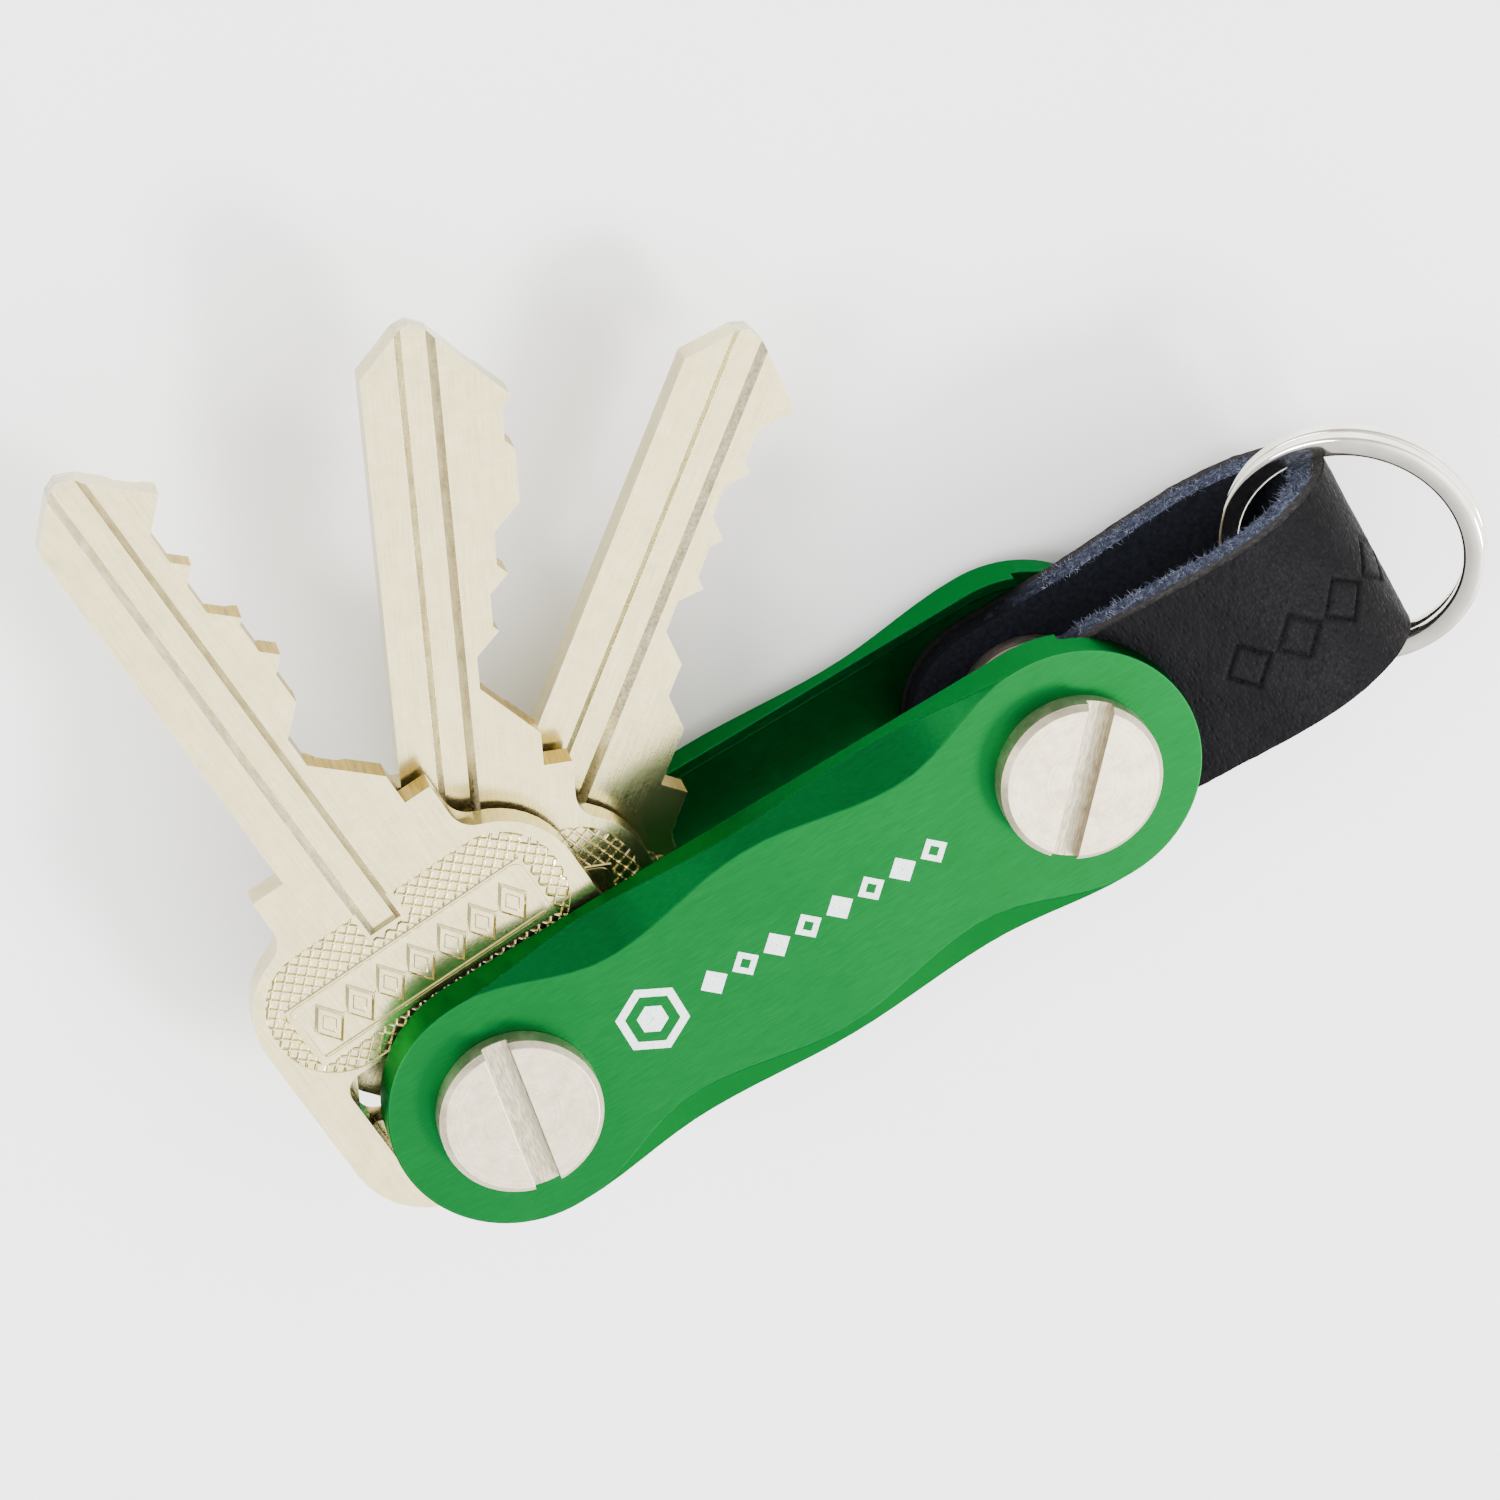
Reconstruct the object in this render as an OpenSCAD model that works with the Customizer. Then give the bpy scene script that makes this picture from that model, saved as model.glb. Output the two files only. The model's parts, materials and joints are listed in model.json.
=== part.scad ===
// Pocket key organiser: two scalloped plates on two slotted screw posts, three house
// keys that fan out on one post, a leather strap loop with a split ring on the other.
// Millimetres. It lies flat: +Z is the way the front plate faces, +X runs from the key
// post to the strap post, and the origin is on the key post's axis, on the outer face
// of its rear head.

/* [Plates] */
// Distance between the two screw posts
post_spacing = 40; // [38:0.5:44]
// Width of a plate, which is also the diameter of its round ends
plate_w = 16.2; // [15.6:0.2:17]
// Thickness of a plate at its lips
plate_t = 3; // [2.8:0.1:3.4]
// Depth of the recess milled into the inner face
recess_d = 0.9; // [0.6:0.1:1]
// Width of the lip left round the recess
lip_w = 0.7; // [0.6:0.1:1]
// Distance past the strap post at which the lips stop
lip_end = 3.2; // [2.5:0.1:4]

/* [Scalloped bevels] */
// Width of the bevel at each waist
waist_cut = 2.55; // [1.6:0.05:2.6]
// Width of the bevel at the middle of the plate
middle_cut = 1.05; // [0.5:0.05:1.5]
// Fall of the bevel for each millimetre of its width
bevel_slope = 0.67; // [0.5:0.01:0.67]

/* [Screw posts] */
// Diameter of every screw head
head_d = 10.3; // [9.6:0.1:10.6]
// Height of a screw head
head_h = 1.85; // [1.5:0.05:2.2]
// Chamfer round a screw head
head_chamfer = 0.36; // [0.2:0.02:0.5]
// Width of the coin slot
slot_w = 1.65; // [1.4:0.05:1.9]
// Depth of the coin slot
slot_d = 0.9; // [0.6:0.1:1.1]
// Direction of the coin slot of the key post, in degrees
key_slot_dir = 80; // [0:1:180]
// Direction of the coin slot of the strap post, in degrees
strap_slot_dir = 49; // [0:1:180]
// Outside diameter of a barrel
barrel_d = 5; // [4.8:0.1:5.2]
// Diameter of a screw's shank
shank_d = 3.5; // [3:0.1:3.6]

/* [Spacers and washers] */
// Thickness of one steel spacer
spacer_t = 1.35; // [1.3:0.01:1.4]
// Diameter of the spacers on the strap post
strap_spacer_d = 9.5; // [9:0.1:9.8]
// Diameter of the spacers and washers on the key post
key_spacer_d = 9.4; // [9:0.1:9.8]
// Number of spacers between the strap's two leaves
strap_spacers = 5; // [5:1:5]

/* [Keys] */
// Thickness of a key
key_t = 2.05; // [2:0.01:2.1]
// Distance from the post's axis to the tip of a key
key_len = 49; // [46:0.5:50]
// Width of an uncut blade
blade_w = 8.9; // [8.5:0.1:9.1]
// Direction of the front key, in degrees
front_key_dir = 93; // [60:1:120]
// Direction of the middle key, in degrees
middle_key_dir = 65.5; // [40:0.5:80]
// Direction of the rear key, in degrees
rear_key_dir = 39.5; // [30:0.5:60]

/* [Strap] */
// Width of the leather
strap_w = 13; // [12.6:0.1:13]
// Thickness of the leather
strap_t = 2.4; // [2.3:0.02:2.4]
// How far the loop reaches past the strap post
loop_reach = 23.4; // [21:0.1:25]
// Height of the loop at its fattest
loop_h = 13.2; // [12.6:0.1:13.4]

/* [Split ring] */
// Diameter of the ring at the middle of its wire
ring_mid_d = 15.4; // [15.2:0.1:15.8]
// Radial thickness of the flattened wire
ring_wire_w = 1.4; // [1.2:0.1:1.5]
// Thickness of each of the two coils
ring_coil_t = 1; // [0.8:0.1:1]
// Tilt of the ring out of the plane of the plates, in degrees
ring_tilt = 27; // [5:1:27]

/* [Hidden] */
$fn = 64;
eps = 0.01;

steel = [0.78, 0.77, 0.75];
nickel = [0.86, 0.83, 0.75];
green = [0.18, 0.62, 0.28];
hide = [0.12, 0.12, 0.13];

// Heights of the stack, from the outer face of the rear heads up
floor_gap = strap_spacers * spacer_t + 2 * strap_t;
plate_floor = plate_t - recess_d;
back_face_z = head_h;
back_floor_z = back_face_z + plate_floor;
front_floor_z = back_floor_z + floor_gap;
front_face_z = front_floor_z + plate_floor;
mid_z = (back_floor_z + front_floor_z) / 2;
plate_r = plate_w / 2;
bore_d = barrel_d + 0.2;
barrel_top_z = front_face_z - 0.3;

// Axial play on each side of each key, and what is left for the two washers
play = 0.05;
washer_t = (floor_gap - 3 * spacer_t - 3 * key_t - 6 * play) / 2;
front_key_z = front_floor_z - spacer_t - play - key_t;
front_washer_z = front_key_z - play - washer_t;
middle_key_z = front_washer_z - play - key_t;
rear_washer_z = middle_key_z - play - washer_t;
rear_key_z = rear_washer_z - play - key_t;

// Places along the bevel, measured from the middle of the plate
middle_x = post_spacing / 2;
waist_off = 0.51 * middle_x;
bevel_off = 0.99 * middle_x;
bevel_steps = 28;

// Key blank, in its own frame: +Y runs to the tip, the front face is up
blade_back = -3.85;
blade_top = blade_back + blade_w;
shoulder_y = 19.7;
tip_x = -0.6;
cut_first_y = 26.4;
cut_pitch = 3.94;
cut_step = 0.58;
cut_flat = 1.05;
bow_left = -11;
bow_right = 11.5;
bow_low = -5.3;
bow_top = 16.1;
bow_r = 5.5;
neck_left = -6.1;
neck_right = 6.85;
neck_fillet = 1.8;
seat_gap = 0.15;
front_cuts = [6, 3, 3, 5, 5];
middle_cuts = [6, 4, 3, 0, 1];
rear_cuts = [3, 6, 5, 6, 5];

// Strap profile
leaf_start_x = post_spacing - 1.4;
leaf_z = floor_gap / 2 - strap_t / 2;
swell_start_x = post_spacing + 5;
swell_end_x = post_spacing + 14.5;
loop_half = loop_h / 2 - strap_t / 2;
bend_x = post_spacing + loop_reach - strap_t / 2;

// Ring place: it swings about a point just inside the bend, a little below the loop's
// mid-height, and its own centre hangs outward from there
ring_lift = -0.4;
ring_hang = 2.2;
ring_pivot_x = bend_x - 1.8;
ring_pivot_z = mid_z + ring_lift;

// ---- Plates ----

module stadium(r, length) {
  circle(r);
  translate([0, -r]) square([length, 2 * r]);
  translate([length, 0]) circle(r);
}

// Width of the bevel at distance d from the middle of the plate
function bevel_w(d) =
  d < waist_off
    ? (middle_cut + waist_cut) / 2 + (middle_cut - waist_cut) / 2 * cos(180 * d / waist_off)
    : waist_cut / 2 * (1 + cos(180 * (d - waist_off) / (bevel_off - waist_off)));

// Wedge that cuts one scalloped bevel off the +Y edge of a plate whose face is at z = 0
module bevel_cutter() {
  rise = 0.5;
  out_y = plate_r + 0.6;
  stations = [for (i = [0 : bevel_steps]) -bevel_off + 2 * bevel_off * i / bevel_steps];
  points = [
    for (s = stations)
      let (in_y = plate_r - bevel_w(abs(s)))
        each [
          [middle_x + s, in_y - rise / bevel_slope, rise],
          [middle_x + s, out_y, rise],
          [middle_x + s, out_y, -bevel_slope * (out_y - in_y)]
        ]
  ];
  last = 3 * bevel_steps;
  faces = [
    [2, 1, 0],
    [last, last + 1, last + 2],
    for (i = [0 : bevel_steps - 1], k = [0 : 2])
      let (a = 3 * i + k, b = 3 * i + (k + 1) % 3)
        [a, b, b + 3, a + 3]
  ];
  polyhedron(points, faces, convexity = 4);
}

// Plate with its outer face up at z = 0
module plate() {
  difference() {
    translate([0, 0, -plate_t]) linear_extrude(plate_t) stadium(plate_r, post_spacing);
    translate([0, 0, -plate_t - 1])
      linear_extrude(1 + recess_d) {
        stadium(plate_r - lip_w, post_spacing);
        translate([post_spacing + lip_end, -plate_r]) square([plate_r, plate_w]);
      }
    bevel_cutter();
    mirror([0, 1, 0]) bevel_cutter();
    for (x = [0, post_spacing])
      translate([x, 0, -plate_t - 1]) cylinder(d = bore_d, h = plate_t + 2);
  }
}

module front_plate() {
  color(green) translate([0, 0, front_face_z]) plate();
}

module back_plate() {
  color(green) translate([0, 0, back_face_z]) mirror([0, 0, 1]) plate();
}

// ---- Screw posts ----

// Head that stands on z = 0, with a chamfered rim and a coin slot
module slotted_head(slot_dir) {
  difference() {
    union() {
      cylinder(d = head_d, h = head_h - head_chamfer);
      translate([0, 0, head_h - head_chamfer])
        cylinder(d1 = head_d, d2 = head_d - 2 * head_chamfer, h = head_chamfer, $fn = 96);
    }
    rotate([0, 0, slot_dir])
      translate([-head_d, -slot_w / 2, head_h - slot_d]) cube([2 * head_d, slot_w, slot_d + 1]);
  }
}

// Male half: front head and a shank that runs down inside the barrel
module post_screw(x, slot_dir) {
  shank_low_z = back_floor_z;
  color(steel) translate([x, 0, 0]) {
    translate([0, 0, front_face_z]) slotted_head(slot_dir);
    translate([0, 0, shank_low_z]) cylinder(d = shank_d, h = front_face_z - shank_low_z + eps);
  }
}

// Female half: rear head and a tube that goes through both plates
module post_barrel(x, slot_dir) {
  color(steel) translate([x, 0, 0]) difference() {
    union() {
      translate([0, 0, head_h]) mirror([0, 0, 1]) slotted_head(slot_dir);
      translate([0, 0, head_h - eps]) cylinder(d = barrel_d, h = barrel_top_z - head_h + eps);
    }
    translate([0, 0, head_h + 0.6]) cylinder(d = shank_d + 0.1, h = barrel_top_z);
  }
}

module key_screw() {
  post_screw(0, key_slot_dir);
}

module key_barrel() {
  post_barrel(0, strap_slot_dir);
}

module strap_screw() {
  post_screw(post_spacing, strap_slot_dir);
}

module strap_barrel() {
  post_barrel(post_spacing, key_slot_dir);
}

// ---- Spacers and washers ----

module disc(x, z, d, t) {
  color(steel) translate([x, 0, z]) difference() {
    cylinder(d = d, h = t);
    translate([0, 0, -1]) cylinder(d = bore_d, h = t + 2);
  }
}

module front_spacer() {
  disc(0, front_floor_z - spacer_t, key_spacer_d, spacer_t);
}

module front_washer() {
  disc(0, front_washer_z, key_spacer_d, washer_t);
}

module rear_washer() {
  disc(0, rear_washer_z, key_spacer_d, washer_t);
}

module rear_spacer_inner() {
  disc(0, back_floor_z + spacer_t, key_spacer_d, spacer_t);
}

module rear_spacer_outer() {
  disc(0, back_floor_z, key_spacer_d, spacer_t);
}

module strap_spacer(i) {
  disc(post_spacing, back_floor_z + strap_t + (i - 1) * spacer_t, strap_spacer_d, spacer_t);
}

// ---- Keys ----

module round_box(low, high, r) {
  translate([low[0] + r, low[1]]) square([high[0] - low[0] - 2 * r, high[1] - low[1]]);
  translate([low[0], low[1] + r]) square([high[0] - low[0], high[1] - low[1] - 2 * r]);
  for (x = [low[0] + r, high[0] - r], y = [low[1] + r, high[1] - r])
    translate([x, y]) circle(r);
}

function arc(centre, r, from, to) =
  [for (i = [0 : 8]) centre + r * [cos(from + (to - from) * i / 8), sin(from + (to - from) * i / 8)]];

// Angle at which a top corner of the bow gives way to the concave blend up to the neck,
// where run is the sideways distance between the two arcs' centres
function blend_angle(run) = acos(run / (bow_r + neck_fillet));

module bow_outline() {
  left = bow_left + bow_r;
  right = bow_right - bow_r;
  low = bow_low + bow_r;
  top = bow_top - bow_r;
  left_run = left - neck_left + neck_fillet;
  right_run = neck_right - right + neck_fillet;
  left_angle = blend_angle(left_run);
  right_angle = blend_angle(right_run);
  reach = bow_r + neck_fillet;
  polygon(concat(
    arc([right, low], bow_r, -90, 0),
    arc([right, top], bow_r, 0, right_angle),
    arc([right + right_run, top + reach * sin(right_angle)], neck_fillet, right_angle - 180, -180),
    [[neck_right, shoulder_y], [neck_left, shoulder_y]],
    arc([left - left_run, top + reach * sin(left_angle)], neck_fillet, 0, -left_angle),
    arc([left, top], bow_r, 180 - left_angle, 180),
    arc([left, low], bow_r, 180, 270)
  ));
}

module blade_outline(cuts) {
  difference() {
    polygon([
      [blade_back, shoulder_y - 1],
      [blade_top, shoulder_y - 1],
      [blade_top, key_len - 5],
      [tip_x + 1.1, key_len - 0.5],
      [tip_x, key_len],
      [tip_x - 0.9, key_len - 0.4],
      [blade_back, key_len - 2.9]
    ]);
    for (i = [0 : len(cuts) - 1])
      if (cuts[i] > 0)
        let (depth = cuts[i] * cut_step, y = cut_first_y + i * cut_pitch, rise = depth + 1)
          polygon([
            [blade_top - depth, y - cut_flat],
            [blade_top + 1, y - cut_flat - rise],
            [blade_top + 1, y + cut_flat + rise],
            [blade_top - depth, y + cut_flat]
          ]);
  }
}

// Long milled groove with sloping walls, from y0 to past the tip, in the face at z = 0
module groove(x, floor_w, depth, y0) {
  translate([x, key_len + 1, 0])
    rotate([90, 0, 0])
      linear_extrude(key_len + 1 - y0)
        polygon([
          [-floor_w / 2, -depth],
          [floor_w / 2, -depth],
          [floor_w / 2 + depth, eps],
          [-floor_w / 2 - depth, eps]
        ]);
}

// Shallow field on a bow face at z = 0 that leaves a framed panel standing
module bow_field() {
  field_d = 0.12;
  panel_low = [-8.6, 7.9];
  panel_high = [8.7, 12.4];
  translate([0, 0, -field_d])
    linear_extrude(field_d + 1) {
      difference() {
        round_box([bow_left + 0.9, 6.3], [bow_right - 0.9, bow_top - 0.8], 4.3);
        translate(panel_low) square(panel_high - panel_low);
      }
      difference() {
        translate(panel_low + [0.5, 0.5]) square(panel_high - panel_low - [1, 1]);
        for (i = [-3 : 3])
          translate([0.05 + i * 2.25, 10.15]) rotate([0, 0, 45]) square(1.5, center = true);
      }
    }
}

module key(cuts, seat_x) {
  translate([seat_x, 0, 0]) difference() {
    linear_extrude(key_t) {
      difference() {
        bow_outline();
        round_box([-8.4, -barrel_d / 2 - seat_gap], [8.6, 6.1], 1.2);
      }
      blade_outline(cuts);
    }
    translate([0, 0, key_t]) groove(-0.35, 1.5, 0.5, 13.5);
    mirror([0, 0, 1]) groove(2.6, 0.9, 0.45, 16.5);
    translate([0, 0, key_t]) bow_field();
    mirror([0, 0, 1]) bow_field();
  }
}

module front_key() {
  color(nickel) translate([0, 0, front_key_z]) rotate([0, 0, front_key_dir - 90]) key(front_cuts, 0);
}

module middle_key() {
  color(nickel) translate([0, 0, middle_key_z])
    rotate([0, 0, middle_key_dir - 90]) key(middle_cuts, -0.6);
}

module rear_key() {
  color(nickel) translate([0, 0, rear_key_z])
    rotate([0, 0, rear_key_dir - 90]) key(rear_cuts, -1.2);
}

// ---- Strap ----

// Middle line of the upper half of the leather: flat leaf, gentle swell, then half the bend
function smooth(t) = t * t * (3 - 2 * t);
upper_line = concat(
  [[leaf_start_x - strap_w, leaf_z]],
  [
    for (i = [0 : 8])
      [
        swell_start_x + (swell_end_x - swell_start_x) * i / 8,
        leaf_z + (loop_half - leaf_z) * smooth(i / 8)
      ]
  ],
  [
    for (i = [1 : 12])
      [
        swell_end_x + (bend_x - swell_end_x) * sin(90 * i / 12),
        loop_half * cos(90 * i / 12)
      ]
  ]
);
turn = len(upper_line) - 1;
middle_line = concat(upper_line, [for (i = [1 : turn]) [upper_line[turn - i][0], -upper_line[turn - i][1]]]);

function normal_at(i) =
  let (
    a = middle_line[max(i - 1, 0)],
    b = middle_line[min(i + 1, len(middle_line) - 1)],
    d = b - a
  )
    [-d[1], d[0]] / norm(d);

module strap_profile() {
  n = len(middle_line) - 1;
  polygon(concat(
    [for (i = [0 : n]) middle_line[i] + normal_at(i) * strap_t / 2],
    [for (i = [0 : n]) middle_line[n - i] - normal_at(n - i) * strap_t / 2]
  ));
}

module strap() {
  color(hide) difference() {
    intersection() {
      translate([0, strap_w / 2, mid_z]) rotate([90, 0, 0]) linear_extrude(strap_w) strap_profile();
      linear_extrude(front_face_z) {
        translate([leaf_start_x, 0]) circle(strap_w / 2);
        translate([leaf_start_x, -strap_w / 2]) square([strap_w + loop_reach, strap_w]);
      }
    }
    translate([post_spacing, 0, 0]) cylinder(d = barrel_d + 0.4, h = front_face_z);
  }
}

// ---- Split ring ----

module split_ring() {
  corner = 0.3;
  color(steel) translate([ring_pivot_x, 0, ring_pivot_z])
    rotate([0, -ring_tilt, 0])
      translate([ring_hang, 0, 0])
        rotate_extrude($fn = 96)
          translate([ring_mid_d / 2 - ring_wire_w / 2, 0])
            for (low = [-ring_coil_t - eps, -eps])
              round_box([0, low], [ring_wire_w, low + ring_coil_t + 2 * eps], corner, $fn = 24);
}

front_plate();
back_plate();
key_screw();
key_barrel();
strap_screw();
strap_barrel();
front_key();
middle_key();
rear_key();
front_spacer();
front_washer();
rear_washer();
rear_spacer_inner();
rear_spacer_outer();
strap();
strap_spacer(1);  // strap_spacer_1
strap_spacer(2);  // strap_spacer_2
strap_spacer(3);  // strap_spacer_3
strap_spacer(4);  // strap_spacer_4
strap_spacer(5);  // strap_spacer_5
split_ring();
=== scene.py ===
"""Looks for the pocket key organiser: anodised plates, turned screw heads, plated keys,
a leather loop with an open cut edge, and a polished split ring. Shapes are worked out in
millimetres in the row frame and scaled to metres when a mesh is made."""

import json
import math
import random

import bmesh
import bpy
import numpy as np
from mathutils import Euler, Matrix, Vector, noise


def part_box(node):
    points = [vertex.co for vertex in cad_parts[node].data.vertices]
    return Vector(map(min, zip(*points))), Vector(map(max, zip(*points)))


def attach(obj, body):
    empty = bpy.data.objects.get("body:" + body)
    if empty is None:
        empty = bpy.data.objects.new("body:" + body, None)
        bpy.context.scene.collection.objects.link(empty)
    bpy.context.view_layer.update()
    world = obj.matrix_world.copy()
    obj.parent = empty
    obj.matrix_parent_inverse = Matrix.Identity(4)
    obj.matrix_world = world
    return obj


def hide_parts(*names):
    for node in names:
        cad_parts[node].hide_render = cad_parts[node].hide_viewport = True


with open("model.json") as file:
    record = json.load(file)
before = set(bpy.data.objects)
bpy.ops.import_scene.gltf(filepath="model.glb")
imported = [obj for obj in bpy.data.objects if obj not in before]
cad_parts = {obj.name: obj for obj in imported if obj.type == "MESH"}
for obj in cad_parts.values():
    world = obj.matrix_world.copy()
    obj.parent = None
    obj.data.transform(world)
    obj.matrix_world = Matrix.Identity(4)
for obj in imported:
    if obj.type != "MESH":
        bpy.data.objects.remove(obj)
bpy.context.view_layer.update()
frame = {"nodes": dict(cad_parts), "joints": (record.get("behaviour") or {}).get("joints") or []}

MM = 0.001
MILLI = 1000.0

# ---- Places, from the frame ----


def box_mm(node):
    low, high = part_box(node)
    return np.array(low) * MILLI, np.array(high) * MILLI


PLATE_LOW, PLATE_HIGH = box_mm("front_plate")
STRAP_LOW, STRAP_HIGH = box_mm("strap")
FACE_Z = PLATE_HIGH[2]
PLATE_R = (PLATE_HIGH[1] - PLATE_LOW[1]) / 2
POST_SPACING = PLATE_HIGH[0] - PLATE_LOW[0] - 2 * PLATE_R
MID_Z = (STRAP_LOW[2] + STRAP_HIGH[2]) / 2
RING_JOINT = next(joint for joint in frame["joints"] if joint["name"] == "ring_swing")
RING_PIVOT = np.array(RING_JOINT["pos_m"]) * MILLI
# Direction of each blade about the key post, and how far each bow sits off its middle
KEY_DIRECTION = {"front_key": 93.0, "middle_key": 65.5, "rear_key": 39.5}
KEY_SEAT = {"front_key": 0.0, "middle_key": -0.6, "rear_key": -1.2}
KEY_BOX = {key: box_mm(key) for key in KEY_DIRECTION}

# ---- Mesh helpers ----

WELD_MM = 0.002
FLAT_DEG = 0.6
SEAM_SNAP_MM = 0.0005


def make_piece(name, vertices_mm, faces, materials, kinds=None, sharp_deg=30.0):
    """A mesh object in metres, smooth except at edges sharper than sharp_deg."""
    mesh = bpy.data.meshes.new(name)
    mesh.from_pydata((np.asarray(vertices_mm, float) * MM).tolist(), [], faces)
    for mat in materials:
        mesh.materials.append(mat)
    if kinds is not None:
        mesh.polygons.foreach_set("material_index", kinds)
    mesh.polygons.foreach_set("use_smooth", [True] * len(mesh.polygons))
    mesh.set_sharp_from_angle(angle=math.radians(sharp_deg))
    mesh.update()
    piece = bpy.data.objects.new(name, mesh)
    bpy.context.scene.collection.objects.link(piece)
    return piece


def grid_faces(rows, columns, start=0):
    """Quads over a grid of points, row by row, with the columns joined into a ring."""
    faces = []
    for i in range(rows - 1):
        for j in range(columns):
            a = start + i * columns + j
            b = start + i * columns + (j + 1) % columns
            faces.append((a, b, b + columns, a + columns))
    return faces


def applied(piece):
    """The mesh of a piece with its modifiers applied."""
    graph = bpy.context.evaluated_depsgraph_get()
    mesh = bpy.data.meshes.new_from_object(piece.evaluated_get(graph))
    piece.modifiers.clear()
    piece.data = mesh
    return mesh


def softened(node, width_mm, materials, sharp_deg=24.0, paint=None, seam=None):
    """A copy of a CAD node whose sharp edges are rounded, which then replaces the node. paint
    gives a face's material from its middle and normal. seam is a point and a normal: a plane
    that splits wide flat faces, so that none of them has a hole."""
    mesh = bpy.data.meshes.new(node + "_shell")
    bm = bmesh.new()
    bm.from_mesh(frame["nodes"][node].data)
    bmesh.ops.scale(bm, vec=(MILLI,) * 3, verts=bm.verts)
    bmesh.ops.remove_doubles(bm, verts=bm.verts, dist=WELD_MM)
    bmesh.ops.dissolve_limit(
        bm, angle_limit=math.radians(FLAT_DEG), verts=bm.verts, edges=bm.edges
    )
    if seam is not None:
        everything = [*bm.verts, *bm.edges, *bm.faces]
        bmesh.ops.bisect_plane(
            bm, geom=everything, dist=SEAM_SNAP_MM, plane_co=seam[0], plane_no=seam[1]
        )
    for face in bm.faces:
        face.smooth = True
    bm.to_mesh(mesh)
    bm.free()
    piece = bpy.data.objects.new(node + "_shell", mesh)
    bpy.context.scene.collection.objects.link(piece)
    bevel = piece.modifiers.new("round_edges", "BEVEL")
    bevel.width = width_mm
    bevel.segments = 2
    bevel.limit_method = "ANGLE"
    bevel.angle_limit = math.radians(sharp_deg)
    bevel.use_clamp_overlap = True
    bevel.miter_outer = "MITER_ARC"
    even = piece.modifiers.new("even_shading", "WEIGHTED_NORMAL")
    even.mode = "FACE_AREA"
    even.weight = 100
    mesh = applied(piece)
    mesh.transform(Matrix.Scale(MM, 4))
    mesh.materials.clear()
    for mat in materials:
        mesh.materials.append(mat)
    if paint is not None:
        for polygon in mesh.polygons:
            middle = np.array(polygon.center) * MILLI
            polygon.material_index = paint(middle, np.array(polygon.normal))
    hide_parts(node)
    return piece


# ---- Material helpers ----


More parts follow.
